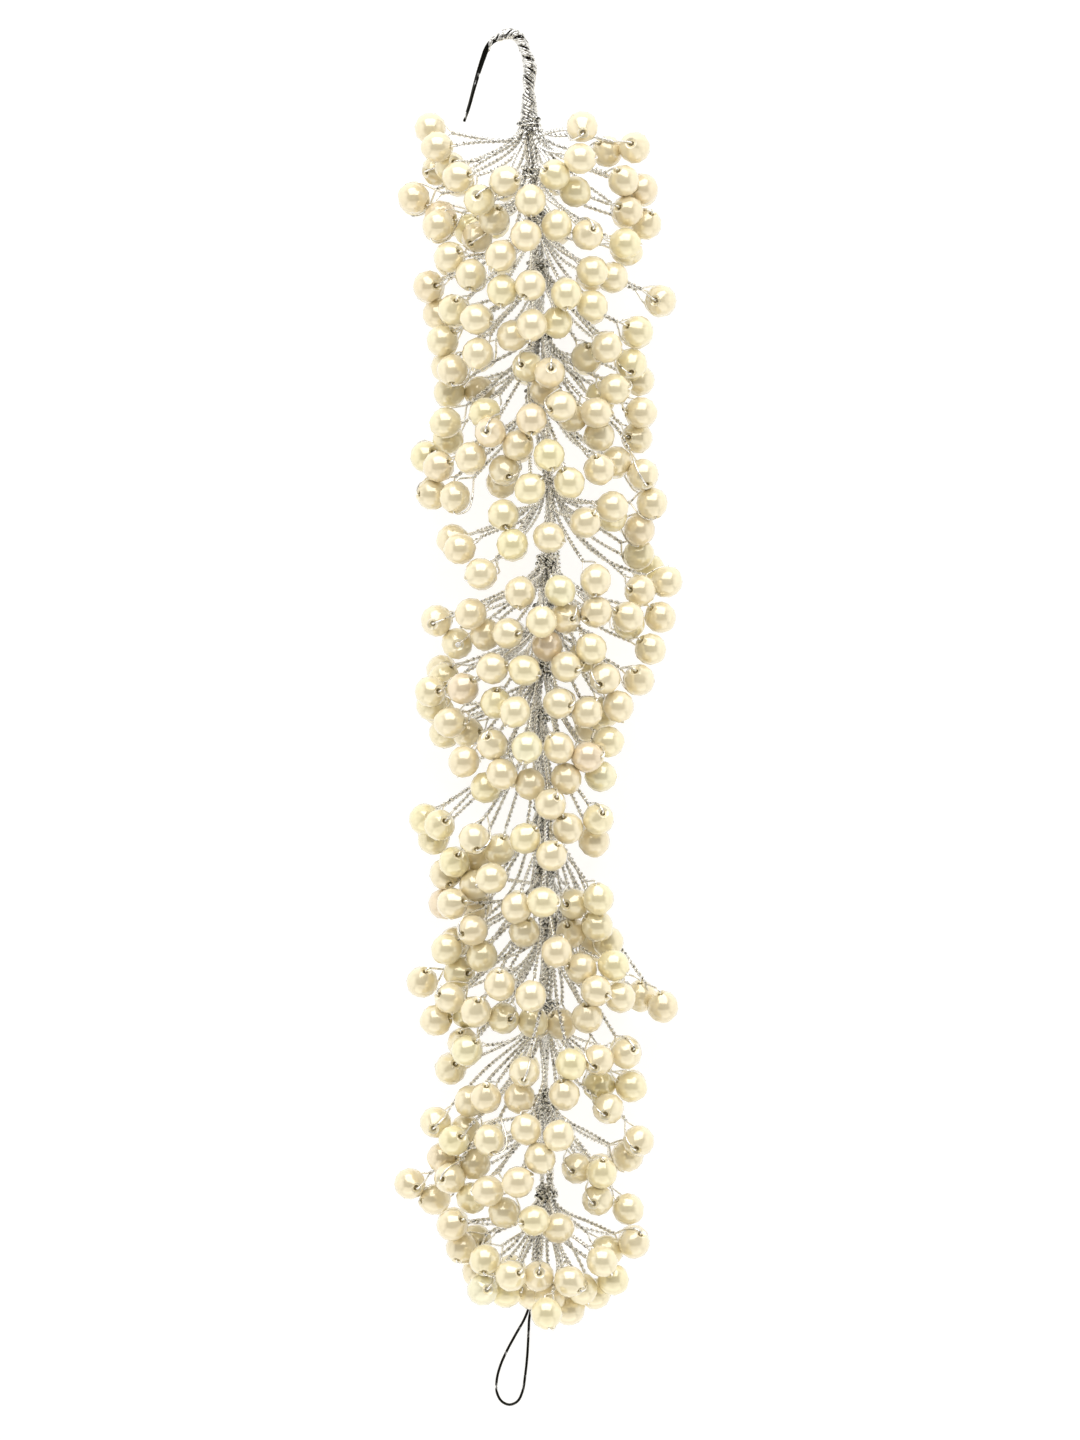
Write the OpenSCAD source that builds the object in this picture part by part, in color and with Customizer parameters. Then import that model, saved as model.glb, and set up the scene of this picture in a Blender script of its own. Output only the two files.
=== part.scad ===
// Pearl hair vine: a wire stem with tiers of pearl sprigs, a wrapped hook and a wire eye.
// It lies on its underside, the hook towards +Y and the eye towards -Y.

/* [Pearls] */
// Diameter of a pearl bead
pearl_d = 6; // [5:0.5:6]
// Least gap between two pearls
pearl_gap = 0.2; // [0.1:0.05:0.4]

/* [Bush of pearls] */
// Height of the stem's axis above the surface that the vine lies on
stem_height = 17; // [15:0.5:19]
// How far the foremost pearls stand above the stem's axis
crown_rise = 20; // [17:0.5:23]
// Distance across from the axis at which the crown falls to the stem's height
crown_half = 26; // [24:0.5:30]
// How much the pearls of the crown stand in or out
crown_ripple = 1.2; // [0:0.1:2]

/* [Wires] */
// Diameter of the stem's wire bundle
stem_d = 2.4; // [1.8:0.1:2.6]
// Diameter of a twisted stalk
stalk_d = 0.8; // [0.6:0.05:0.9]
// Outer diameter of the stalks' ends where they lie along the stem
root_d = 4.2; // [3.8:0.1:4.6]
// Length of the stalks' ends along the stem past the winding
root_len = 5; // [4:0.5:5]
// Length of a winding
tie_len = 2; // [1:0.5:2]
// Thickness of a winding
tie_wall = 0.5; // [0.3:0.1:0.6]
// Gap between pieces that lie on each other
fit_gap = 0.1; // [0.05:0.05:0.15]

/* [Hook and eye] */
// Diameter of the hook's doubled wire
hook_wire_d = 1.1; // [0.8:0.1:1.2]
// Radius of the hook's bend
hook_bend = 4.4; // [4:0.1:4.8]
// How far the bend turns
hook_turn = 163; // [150:1:170]
// Length of the hook's bare leg
hook_leg = 14.8; // [12:0.2:15]
// Outer diameter of the winding on the shank
shank_wrap_d = 2.9; // [2.2:0.1:3.2]
// Outer diameter of the winding on the bend
bend_wrap_d = 2.2; // [1.8:0.1:2.4]
// Diameter of the eye's wire
eye_wire_d = 0.4; // [0.4:0.05:0.6]

/* [Hidden] */
// Every place is charted as across, towards the right, and along, from the hook to the eye.
ACROSS = 0;
ALONG = 1;
// A pearl's row also says what it lies behind: 0 nothing, 1 the front pearls, 2 those behind them.
LAYER = 2;

// Rows of a tier: where its winding starts, its left sprigs and its right sprigs
TIE = 0;
LEFT = 1;
RIGHT = 2;

TIERS = [
    [[-2.2, 18.6],
        [[-22, 19.8, 1], [-20.6, 23.7, 0], [-18, 27.6, 1], [-20.6, 28, 2], [-16.4, 29.9, 0],
         [-6.9, 30.9, 0]],
        [[8.4, 20.1, 0], [18.9, 23.9, 0], [13.4, 24.6, 1], [8, 26.5, 0], [2.9, 29.7, 0],
         [16.7, 30.6, 0], [20.5, 32.1, 1], [7, 32.9, 1]]],
    [[-1.5, 28],
        [[-25.3, 33.7, 0], [-12.1, 34.6, 0], [-1.9, 34.9, 0], [-19.9, 37.4, 1], [-9.2, 38.4, 0],
         [-20.4, 39.4, 0], [-12.6, 41.8, 1], [-14.2, 40, 2], [-2.8, 41.9, 0], [-18.1, 45.9, 0]],
        [[17.5, 36.6, 0], [21.2, 39.1, 1], [3.3, 39.8, 0], [9.5, 41.6, 0]]],
    [[-0.9, 37],
        [[-7.8, 45.9, 0], [-13.8, 49.5, 0], [-22.3, 51.5, 0], [-1.9, 51.8, 0],
         [-7.5, 52.8, 1], [-17.3, 56.4, 0]],
        [[17, 43.2, 0], [17.4, 44.4, 1], [10.4, 48.9, 0], [14.5, 50, 1], [5.2, 53.5, 0],
         [24.2, 54.3, 0], [10.4, 55.7, 1]]],
    [[-0.4, 47],
        [[-20.4, 57, 1], [-12.7, 58.4, 0], [-1.6, 59.7, 0], [-5.5, 61.7, 1], [-19.5, 62.4, 0],
         [-12.4, 65.3, 0], [-17.5, 68.5, 0], [-18.7, 67.6, 1], [-2.5, 67.9, 1]],
        [[3.4, 59.1, 1], [19.5, 60.7, 0], [13.3, 64, 0], [9.3, 65.9, 1], [18.3, 67.2, 0]]],
    [[0.2, 60],
        [[-18.2, 72.7, 1], [-12.1, 72.6, 2], [-9.9, 81, 0], [-11, 77.1, 1], [-1.7, 78.5, 0],
         [-18.9, 79, 0], [-18.4, 82, 1]],
        [[1.9, 69.2, 0], [19.8, 70.4, 1], [14.9, 72.3, 0], [12.2, 73.8, 1], [4.2, 75.9, 0],
         [1, 72.6, 1], [20.2, 76.9, 0], [11.2, 77.1, 0], [6.5, 77.7, 1], [11.8, 81.6, 1],
         [19.4, 81.9, 1]]],
    [[-0.8, 72.6],
        [[-4.4, 83.6, 1], [-13.8, 86, 0], [-20.3, 87.7, 0], [-22.9, 85.6, 1], [-7.1, 88.5, 1],
         [-7.7, 90.9, 1], [-2, 92.3, 0], [-17, 93.9, 0], [-21.6, 93.2, 1]],
        [[1.8, 85.6, 0], [15.2, 86.7, 1], [11.8, 88.4, 0], [20.6, 89.3, 0], [5.8, 91.1, 0]]],
    [[1.5, 91],
        [[-7.3, 97.5, 0], [-5.5, 103.4, 0], [-16, 104.2, 0], [-17.5, 102.3, 1], [-11.8, 109.2, 0]],
        [[22.4, 95, 0], [14.4, 95.8, 0], [14.3, 97.6, 1], [9, 99, 0], [19.9, 100.3, 0],
         [1.8, 102, 0], [19.8, 105.2, 1], [11.1, 110.5, 0], [25.4, 110.7, 0], [21.9, 108.1, 1],
         [20, 112.5, 0], [4, 112.6, 0]]],
    [[1.5, 106],
        [[-4, 113, 0], [-13.8, 117.2, 0], [-20.7, 118.5, 0], [0.3, 118.8, 0], [-6.4, 121.1, 0],
         [-10.9, 121.3, 1], [-16.6, 123.1, 1], [1.4, 123.5, 1]],
        [[11.2, 116.8, 0], [17.6, 117.8, 0], [24.1, 117.8, 0], [5, 118, 1], [17.8, 119.1, 1],
         [22.1, 124.2, 0], [10.2, 124.2, 0], [8.7, 125.7, 1]]],
    [[0.8, 116],
        [[-9.5, 128.1, 0], [-3.1, 128.5, 0], [-21.9, 132.7, 0], [-19.2, 130, 1], [-19.7, 128.4, 2],
         [-15.4, 132.1, 0], [-5, 136.8, 0], [-8.8, 135, 1], [-21.7, 135.4, 1]],
        [[5.2, 127.8, 0], [12.9, 130.1, 0], [19.8, 130.4, 0], [3.7, 135.1, 0], [15.6, 135.7, 0],
         [9.4, 136.9, 0], [13.2, 136.7, 1]]],
    [[0.3, 127],
        [[-18, 138.9, 0], [-20.4, 136.4, 2], [-14.5, 140.9, 1], [-19.1, 141, 1], [-9.5, 143.3, 0],
         [-2.6, 143.9, 0], [-15.2, 146.7, 0], [-7.6, 149.2, 0], [-2, 151.2, 0], [-10.8, 151.9, 1]],
        [[10, 139.9, 1], [3.7, 143.9, 0], [9.5, 145.8, 0], [13.6, 142.8, 1], [12.1, 149.6, 1],
         [5.2, 150.1, 0]]],
    [[-0.5, 136.5],
        [[-20.1, 159.4, 0], [-23.1, 158.3, 1], [-13.1, 162.1, 0], [-2.9, 162, 0], [-21.4, 162.3, 1],
         [-8.2, 164.3, 0], [-17.1, 166.8, 0], [-12.8, 166.2, 1]],
        [[2.1, 155.2, 0], [11.6, 158.2, 0], [5.5, 160, 0], [10.8, 162.6, 1], [2.3, 165.4, 0]]],
    [[1, 155],
        [[-19, 169.3, 1], [-13, 171.4, 1], [-19.2, 175.2, 1],
         [-4.7, 175.8, 1], [-12.7, 175.6, 1], [-3.1, 180.7, 2], [-13.5, 180.4, 0], [-17, 183, 1]],
        [[0.6, 174.7, 0], [11.6, 174.1, 0], [6.7, 175.2, 0], [11.4, 179.6, 1], [6.2, 181, 1],
         [13.6, 182.8, 1], [10.8, 183.8, 2]]],
    [[0.9, 168],
        [[-9.7, 170, 0], [-17.5, 175.1, 0], [-18.6, 184.2, 0], [-11.6, 185.6, 1], [-16.2, 189, 1],
         [-23.6, 190.9, 0], [-8, 191.2, 0], [-1.8, 193.4, 0], [-18, 194, 0], [-12.8, 196.6, 0]],
        [[3.3, 184.6, 0], [14.7, 187.4, 0], [8.2, 188, 1], [11.2, 192.4, 0], [16, 193.8, 0],
         [20.2, 193.8, 1], [24.6, 195.9, 0]]],
    [[1.9, 179],
        [[-7.3, 198, 0], [-14.6, 197, 1], [-20.8, 198.5, 1], [-1.4, 198.8, 1], [-14.6, 204.4, 0],
         [-15.4, 203, 1], [-17.9, 208.3, 1], [-3.1, 208.5, 0]],
        [[9.4, 197.8, 0], [4.2, 199.2, 1], [17.2, 205, 0], [11.6, 206.2, 0], [6.1, 207, 0]]],
    [[1.1, 196],
        [[-4.1, 213.8, 1], [-10.8, 213.8, 0], [-14, 214.6, 1], [-20.9, 218.9, 0], [-2.8, 220, 0],
         [-14.8, 220.6, 1], [-10.1, 222.2, 0], [-17.2, 222.4, 0]],
        [[11.8, 211.6, 1], [18.2, 211.7, 0], [4.8, 213.1, 0], [13.6, 216, 0], [3.7, 221.2, 0],
         [19.7, 222.6, 0]]],
    [[1.1, 214],
        [[0, 225.8, 0], [-19.4, 226, 1], [-13, 227.2, 1], [-18, 230, 0], [-4.4, 230.5, 0],
         [-26.1, 231.4, 0], [-10.4, 232.4, 0], [-13.6, 234, 1], [-21.2, 234.6, 1], [-7.2, 236.8, 1]],
        [[17.6, 225.7, 1], [7.4, 228, 1], [12.3, 228.8, 0], [11.5, 234.3, 1], [17.6, 236.2, 0]]],
    [[1.4, 233],
        [[-1.2, 238.2, 0], [-17.5, 239.4, 0], [-12.8, 242.6, 1], [-15.7, 244, 0], [-11, 246.2, 0],
         [-12.4, 248.8, 2], [-5.8, 249.2, 0], [-0.3, 249.4, 0], [-11.4, 252.2, 1],
         [-6.8, 252.8, 1], [-1.6, 253.4, 1]],
        [[3.6, 239.8, 0], [18.8, 243, 0], [13.4, 244.6, 1], [12.4, 246.4, 0], [14.6, 250.2, 1],
         [5.9, 250.4, 0], [8.4, 252, 1], [11, 253.2, 1], [2, 253.8, 1], [5.8, 256.4, 1],
         [1.3, 256.6, 1]]]
];

// Pearls of the underside, beside the stem and tie of every tier: across, along past the tie, height
UNDERSIDE = [[21, 14, 9], [6, 10, 3], [14, 12, 4.5]];
// Each one moves right behind a charted pearl that is at most so far off, across and along.
hide_across = 4.5;
hide_along = 9;
// Most sprigs that one side of a tier carries
side_most = 13;

// End of the stem, and the hook's shank and bend
stem_end = [0.2, 241.5];
shank_across = -2.2;
bend_centre = [shank_across - hook_bend, 5.7];
leg_start = bend_centre + hook_bend * [cos(hook_turn), -sin(hook_turn)];
leg_way = [-sin(hook_turn), -cos(hook_turn)];
leg_tip = leg_start + hook_leg * leg_way;

// Middle line of the eye, from the stem round and back
EYE = [
    [-0.4, 241.8], [-1.7, 254.4], [-2.9, 258], [-5.1, 262], [-6.8, 265.2], [-8, 268], [-8.7, 271],
    [-8.6, 273.4], [-7.6, 275.1], [-6.1, 275.7], [-4.6, 275.1], [-3.5, 273], [-3, 270],
    [-2.6, 266.4], [-2.3, 261.4], [-2.1, 258], [-1.2, 254.4], [0.2, 241.8]
];

spacing = pearl_d + pearl_gap;
last_tier = len(TIERS) - 1;
NAMES = ["", "left", "right"];
RODS = 24;
ROUNDS = 32;
// A ball on a wire's corner or end is this much wider than the wire.
ball_part = 1.15;
// A bent stalk's first rod is turned by this, so that its seam doesn't lie on the second rod's.
knee_spin = 50;
// How far a cutting shape stands out of what it cuts
past = 1;

// The crown ripples by so many degrees a mm, along and across.
ripple_along = 211;
ripple_across = 97;
// Height of the crown over a place
function crown_top(p) =
    stem_height + crown_rise * (1 - pow(p[ACROSS] / crown_half, 2))
    - crown_ripple * (1 + sin(ripple_along * p[ALONG] + ripple_across * p[ACROSS]));

// A pearl takes the highest free place under the crown and under the pearls that it lies behind.
// In the placed rows, 2 is the height and 5 the layer.
rounding = 0.001;
function height_of(p, placed) =
    let (
        over = [
            for (q = placed)
                let (d = norm([p[0] - q[0], p[1] - q[1]]))
                if (d < spacing) [q[2], sqrt(spacing * spacing - d * d), q[5]]
        ],
        front = [for (o = over) if (o[2] < p[LAYER]) o[0] - o[1]],
        cap = min(concat([crown_top(p)], front)),
        tries = concat([cap], [for (o = over) if (o[0] - o[1] < cap) o[0] - o[1]])
    )
    max([
        for (z = tries)
            let (rooms = concat([0], [for (o = over) abs(z - o[0]) - o[1]]))
            if (min(rooms) > -rounding) z
    ]);
function settle(rows, placed, i) =
    i == len(rows) ? placed
    : let (
        p = rows[i],
        row = [p[0], p[1], height_of(p, placed), p[3], p[4], p[LAYER]]
    )
    settle(rows, concat(placed, [row]), i + 1);

FRONT_TO_BACK = [
    for (layer = [0 : 2], tier = [0 : last_tier], side = [LEFT, RIGHT], p = TIERS[tier][side])
        if (p[LAYER] == layer) [p[0], p[1], layer, tier, side]
];
CHARTED = settle(FRONT_TO_BACK, [], 0);

// The underside's pearls are laid one after the other, where nothing is in their way.
function clear_of(p, others) =
    min([for (q = others) norm([p[0] - q[0], p[1] - q[1], p[2] - q[2]])]) > spacing;
function hidden(u, placed) =
    let (
        places = [
            for (q = CHARTED)
                let (p = [q[0], q[1], u[2], u[3], u[4]])
                if (abs(p[0] - u[0]) < hide_across && abs(p[1] - u[1]) < hide_along && clear_of(p, placed)) p
        ],
        nearest = len(places) > 0 ? min([for (p = places) abs(p[1] - u[1])]) : 0
    )
    [for (p = places) if (abs(p[1] - u[1]) == nearest) p];
function hide(rows, placed, i) =
    i == len(rows) ? placed
    : let (found = hidden(rows[i], placed))
    hide(rows, len(found) > 0 ? concat(placed, [found[0]]) : placed, i + 1);

SPOTS = [
    for (n = [0 : len(UNDERSIDE) - 1], tier = [0 : last_tier], side = [LEFT, RIGHT])
        let (
            away = side == LEFT ? -1 : 1,
            u = UNDERSIDE[n],
            row = [away * u[0], TIERS[tier][TIE][ALONG] + u[1], u[2], tier, side]
        )
        if (len(TIERS[tier][side]) + n < side_most) row
];
PEARLS = hide(SPOTS, CHARTED, 0);

// The stem runs through the ties.
STEM = concat([for (t = TIERS) t[TIE]], [stem_end]);
function stem_way(tier) =
    let (v = STEM[tier + 1] - STEM[tier])
    v / norm(v);

// Stalks leave the stem past the winding, over the middle eight tenths of their laid ends.
leave_first = 0.1;
leave_part = 0.8;
// A stalk under or over the stem leans to its own side by at least this part of its rise.
least_lean = 0.45;
// Where sprig n of m leaves the stem, on its own side of it and towards its pearl
function start_of(p, n, m) =
    let (
        way = stem_way(p[3]),
        on_axis = STEM[p[3]] + way * (tie_len + root_len * (leave_first + leave_part * (n + 0.5) / m)),
        rise = p[2] - stem_height,
        lean = max(abs(p[0] - on_axis[0]), least_lean * abs(rise)),
        across = lean * (p[4] == LEFT ? -1 : 1),
        out = [across, rise] / norm([across, rise]),
        r = root_d / 2 - stalk_d / 2
    )
    [on_axis[0] + r * out[0], on_axis[1], stem_height + r * out[1]];

// A sprig's row: its start, its pearl, its tier and its side
SPRIGS = [
    for (tier = [0 : last_tier], side = [LEFT, RIGHT])
        let (mine = [for (p = PEARLS) if (p[3] == tier && p[4] == side) p])
        for (n = [0 : len(mine) - 1])
            let (p = mine[n])
            [start_of(p, n, len(mine)), [p[0], p[1], p[2]], tier, side]
];

// A stalk runs straight to its pearl, or by a bend beside that line if a pearl or stalk is there.
function point_gap(p, a, b) =
    let (
        v = b - a,
        t = max(0, min(1, ((p - a) * v) / (v * v)))
    )
    norm(p - a - t * v);
function line_gap(a, b, c, d) =
    let (
        u = b - a,
        v = d - c,
        w = a - c,
        uu = u * u,
        vv = v * v,
        uv = u * v,
        uw = u * w,
        vw = v * w,
        den = uu * vv - uv * uv,
        s0 = den > rounding ? max(0, min(1, (uv * vw - uw * vv) / den)) : 0,
        t = max(0, min(1, (uv * s0 + vw) / vv)),
        s = max(0, min(1, (uv * t - uw) / uu))
    )
    norm(w + s * u - t * v);

// Ways round: so many directions, how far out, and how far along the stalk
bends = 16;
bend_steps = [0, 1.25, 2.5, 3.75, 5, 6.25, 7.5];
bend_places = [0.55, 0.35, 0.75];
last_bend = bends * (len(bend_steps) - 1);
stalk_room = pearl_d / 2 + stalk_d / 2 + fit_gap;
wire_room = stalk_d + fit_gap / 2;
stem_room = root_d / 2 + fit_gap + tie_wall + stalk_d / 2 + fit_gap;
// Share of a stalk's first part that may lie on its neighbours, as they leave the stem together
together = 0.3;
// Only what lies within this of the stalk's own stretch can be in its way.
reach = 9;
function knee_of(sprig, k) =
    let (
        a = sprig[0],
        v = sprig[1] - a,
        side = cross(v, [0, 0, 1]) / norm(cross(v, [0, 0, 1])),
        up = cross(side, v) / norm(v),
        step = k % (last_bend + 1),
        out = bend_steps[ceil(step / bends)],
        turn = 360 * step / bends,
        place = bend_places[floor(k / (last_bend + 1))]
    )
    a + place * v + out * (cos(turn) * up + sin(turn) * side);

// A route's row: its start, its knee, its pearl, its tier and its side
function meets(a, b, w, room) =
    line_gap(a, b, w[0], w[1]) < room || line_gap(a, b, w[1], w[2]) < room;
function is_clear(sprig, knee, pearls, wires, stem) =
    let (
        a = sprig[0],
        c = sprig[1],
        later = a + together * (knee - a),
        pearls_met = [
            for (p = pearls)
                if (point_gap(p, a, knee) < stalk_room || point_gap(p, knee, c) < stalk_room) p
        ],
        stem_met = [
            for (w = stem)
                if (line_gap(a, knee, w[0], w[1]) < stem_room || line_gap(knee, c, w[0], w[1]) < stem_room) w
        ],
        wires_met = [
            for (w = wires)
                let (own = w[3] == sprig[2] && w[4] == sprig[3])
                if (meets(own ? later : a, knee, w, wire_room) || meets(knee, c, w, wire_room)) w
        ]
    )
    len(pearls_met) + len(stem_met) + len(wires_met) == 0;
function best_knee(sprig, pearls, wires, stem, k) =
    k == len(bend_places) * (last_bend + 1) ? knee_of(sprig, 0)
    : is_clear(sprig, knee_of(sprig, k), pearls, wires, stem) ? knee_of(sprig, k)
    : best_knee(sprig, pearls, wires, stem, k + 1);

// Stalks are laid one after the other, each clear of the pearls and of what is laid already.
function raised(p) = [p[0], p[1], stem_height];
function lay(i, laid) =
    i == len(SPRIGS) ? laid
    : let (
        s = SPRIGS[i],
        a = s[0],
        c = s[1],
        low = min(a[1], c[1]) - reach,
        high = max(a[1], c[1]) + reach,
        pearls = [
            for (p = PEARLS)
                let (middle = [p[0], p[1], p[2]])
                if (p[1] > low && p[1] < high && norm(middle - c) > 1) middle
        ],
        wires = [for (w = laid) if (min(w[0][1], w[2][1]) < high && max(w[0][1], w[2][1]) > low) w],
        stem = [for (k = [1 : len(STEM) - 1]) if (k - 1 != s[2]) [raised(STEM[k - 1]), raised(STEM[k])]],
        knee = best_knee(s, pearls, wires, stem, 0)
    )
    lay(i + 1, concat(laid, [[a, knee, c, s[2], s[3]]]));

// The eye's wires and the hook's leg lie first. They belong to no tier.
function fixed(a, b) = [raised(a), raised((a + b) / 2), raised(b), -1, 0];
FIXED = concat([for (k = [1 : len(EYE) - 1]) fixed(EYE[k - 1], EYE[k])], [fixed(leg_start, leg_tip)]);
ROUTES = lay(0, FIXED);

// Place of a charted point in the part's own frame
half_left = min([for (p = PEARLS) p[0]]) - pearl_d / 2;
half_right = max([for (p = PEARLS) p[0]]) + pearl_d / 2;
top_along = bend_centre[ALONG] - hook_bend - bend_wrap_d / 2;
low_along = max([for (p = EYE) p[1]]) + eye_wire_d / 2;
lowest = min([for (p = PEARLS) p[2]]) - pearl_d / 2;
mid_across = (half_left + half_right) / 2;
mid_along = (top_along + low_along) / 2;
function at(p) = [p[0] - mid_across, mid_along - p[1], (len(p) > 2 ? p[2] : stem_height) - lowest];
function span(a, b) = norm(at(b) - at(a));

function two(k) = k < 9 ? str("0", k + 1) : str(k + 1);

// Sets its children on one charted point with their z axis towards another, turned about it by spin
module toward(a, b, spin = 0) {
    v = at(b) - at(a);
    translate(at(a))
        rotate([0, acos(v[2] / norm(v)), atan2(v[1], v[0])])
            rotate(spin)
                children();
}

// A round rod between two charted points
module rod(a, b, d, d_end = 0) {
    toward(a, b) cylinder(d1 = d, d2 = d_end == 0 ? d : d_end, h = span(a, b), $fn = RODS);
}

// A round rod with a ball on its far end
module balled_rod(a, b, d, ball_d, spin = 0) {
    toward(a, b, spin) {
        cylinder(d = d, h = span(a, b), $fn = RODS);
        translate([0, 0, span(a, b)]) sphere(d = ball_d, $fn = ROUNDS);
    }
}

// A round wire through charted points, its corners filled by balls a little wider than the wire
module wire(points, d) {
    corner_d = 1.06 * d;
    last = len(points) - 1;
    for (i = [1 : last - 1])
        balled_rod(points[i - 1], points[i], d, corner_d);
    rod(points[last - 1], points[last], d);
}

// A tube along the stem: from and to are lengths past the start of the winding
module stem_tube(tier, from, to, d_in, d_out) {
    tie = STEM[tier];
    way = stem_way(tier);
    difference() {
        rod(tie + from * way, tie + to * way, d_out);
        rod(tie + (from - past) * way, tie + (to + past) * way, d_in);
    }
}

// One side of the stalks' ends along the stem
module root(tier, side) {
    way = stem_way(tier);
    inner = stem_d + 2 * fit_gap;
    length = tie_len + root_len;
    intersection() {
        stem_tube(tier, 0, length, inner, root_d);
        translate(at(STEM[tier])) rotate(atan2(-way[1], way[0]) + 90)
            translate([side == LEFT ? -root_d : fit_gap, -2 * length, -root_d])
                cube([root_d - fit_gap, 4 * length, 2 * root_d]);
    }
}

// A route is straight where its knee lies on the line from its start to its pearl.
module stalk(r) {
    knee_depth = norm(cross(r[1] - r[0], r[2] - r[0])) / norm(r[2] - r[0]);
    if (knee_depth > rounding)
        balled_rod(r[0], r[1], stalk_d, ball_part * stalk_d, knee_spin);
    balled_rod(knee_depth > rounding ? r[1] : r[0], r[2], stalk_d, pearl_d);
}

module spray(tier, side) {
    color("ivory") {
        root(tier, side);
        for (r = ROUTES)
            if (r[3] == tier && r[4] == side) stalk(r);
    }
}

module tie(tier) {
    inner = root_d + 2 * fit_gap;
    color("lightgray") stem_tube(tier, 0, tie_len, inner, inner + 2 * tie_wall);
}

module stem() {
    color("silver") wire(STEM, stem_d);
}

// A round bar or tube bent along part of the hook's bend
module bend(from, to, d_in, d_out) {
    translate(at(bend_centre))
        rotate(from)
            rotate_extrude(angle = to - from, $fn = 96)
                translate([hook_bend, 0])
                    difference() {
                        circle(d = d_out, $fn = ROUNDS);
                        if (d_in > 0) circle(d = d_in, $fn = ROUNDS);
                    }
}

shank_end = [shank_across, STEM[0][ALONG] - 2 * fit_gap];
shank_top = [shank_across, bend_centre[ALONG]];

module hook_wire() {
    tip_d = hook_wire_d / 2;
    color("dimgray") {
        rod(shank_end, shank_top, hook_wire_d);
        bend(0, hook_turn, 0, hook_wire_d);
        translate(at(leg_start)) sphere(d = ball_part * hook_wire_d, $fn = RODS);
        rod(leg_start, leg_tip, hook_wire_d, tip_d);
        translate(at(leg_tip)) sphere(d = ball_part * tip_d, $fn = RODS);
    }
}

// The winding is thick on the shank and most of the bend, then thin where it runs out on the wire.
module hook_wrap() {
    thick_end = 105;
    thin_end = 152;
    thin_wall = 0.25;
    bore = hook_wire_d + 2 * fit_gap;
    color("silver") {
        difference() {
            rod(shank_end, shank_top, shank_wrap_d, bend_wrap_d);
            rod(shank_end + [0, past], shank_top - [0, past], bore);
        }
        bend(0, thick_end, bore, bend_wrap_d);
        bend(thick_end, thin_end, bore, bore + 2 * thin_wall);
    }
}

module tail_loop() {
    color("gray") wire(EYE, eye_wire_d);
}

hook_wire();
hook_wrap();
stem();
tail_loop();
for (k = [0 : last_tier])
    tie(k);
for (k = [0 : last_tier], s = [LEFT, RIGHT])
    spray(k, s);
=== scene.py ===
import math
import random

import bmesh
import bpy
import numpy as np
from mathutils import Matrix, Vector


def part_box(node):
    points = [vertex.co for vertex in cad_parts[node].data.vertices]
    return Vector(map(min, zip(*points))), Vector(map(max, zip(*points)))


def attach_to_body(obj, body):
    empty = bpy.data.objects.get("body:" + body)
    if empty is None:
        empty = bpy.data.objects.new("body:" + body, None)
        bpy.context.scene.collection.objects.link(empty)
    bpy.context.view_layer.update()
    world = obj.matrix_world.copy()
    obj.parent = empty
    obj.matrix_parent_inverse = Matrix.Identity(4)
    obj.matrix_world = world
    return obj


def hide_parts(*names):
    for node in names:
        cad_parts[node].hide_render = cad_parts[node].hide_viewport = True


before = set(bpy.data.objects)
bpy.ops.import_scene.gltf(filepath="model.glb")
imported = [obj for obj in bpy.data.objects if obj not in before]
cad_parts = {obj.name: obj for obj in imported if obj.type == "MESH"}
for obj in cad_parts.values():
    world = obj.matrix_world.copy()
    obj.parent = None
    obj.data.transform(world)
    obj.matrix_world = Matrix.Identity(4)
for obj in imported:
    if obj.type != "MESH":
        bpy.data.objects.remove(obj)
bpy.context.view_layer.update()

# All lengths below are in millimetres, and all angles in degrees, unless a comment says otherwise.
MM = 0.001
LOOK = random.Random(7)
UP = (0, 0, 1.0)

# Sizes of the vine, as in the part's source. At each tier of sprigs the stalks' ends lie along the
# stem inside a tube of the root's radius and length.
PEARL_R = 3.0
STEM_Z = 17.0
ROOT_R = 2.1
ROOT_LEN = 7.0
TIERS = 17

# Where the charts' zero lies, to the right and up from the origin
CHART_ZERO = (0.35, 138.05)

# The photograph is 1080 by 1440 pixels, and five of them are a millimetre. So its long side is 288
# millimetres at the height in the vine that is given as the frame's level.
CAMERA_AT = (0.35, -0.35)
CAMERA_HEIGHT = 3000
FRAME_LEVEL = 25
FRAME_LONG = 288
SENSOR = 36

# Light panels: azimuth, angle from straight above, and then in metres and watts the distance, size,
# power and colour. Azimuth 0 is towards the hook.
PANELS = {
    "key_panel": (0, 52, 1.9, (2.5, 2.0), 37, (1, 0.99, 0.98)),
    "fill_panel": (180, 58, 1.7, (3.4, 2.2), 20, (1, 0.99, 0.975)),
    "left_panel": (-90, 68, 2.0, (2.2, 1.4), 5, (1, 1, 1)),
    "right_panel": (90, 68, 2.0, (2.2, 1.4), 5, (1, 1, 1)),
}
# The room's colour by height: pale low down, and dim overhead
ROOM = ((0.2, 0.8), (0.72, (0.15, 0.138, 0.118)))
FLOOR_METRES = 6

# The beads are a little wider than the part's balls, because a bead of few faces looks smaller.
BEAD_R = 1.075 * PEARL_R
BEAD_SIDES = 12
BEAD_RINGS = 7
# Edges up to this angle are shaded smooth.
BEAD_SMOOTH = 60
# A bead's lip is its cut rim, drawn in to this share and raised. The ring inside is drawn in
# further and sunk. What lies nearer to the axis than the last of these is in the bore.
LIP_SHARE = 0.85
LIP_RAISED = 0.16
BORE_SHARE = 0.48
BORE_SUNK = 0.3
BORE_R = 0.8
# The share of beads whose near mouth is turned up, and how far they turn from that, in radians
UP_SHARE = 0.5
UP_SPREAD = 0.6

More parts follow.
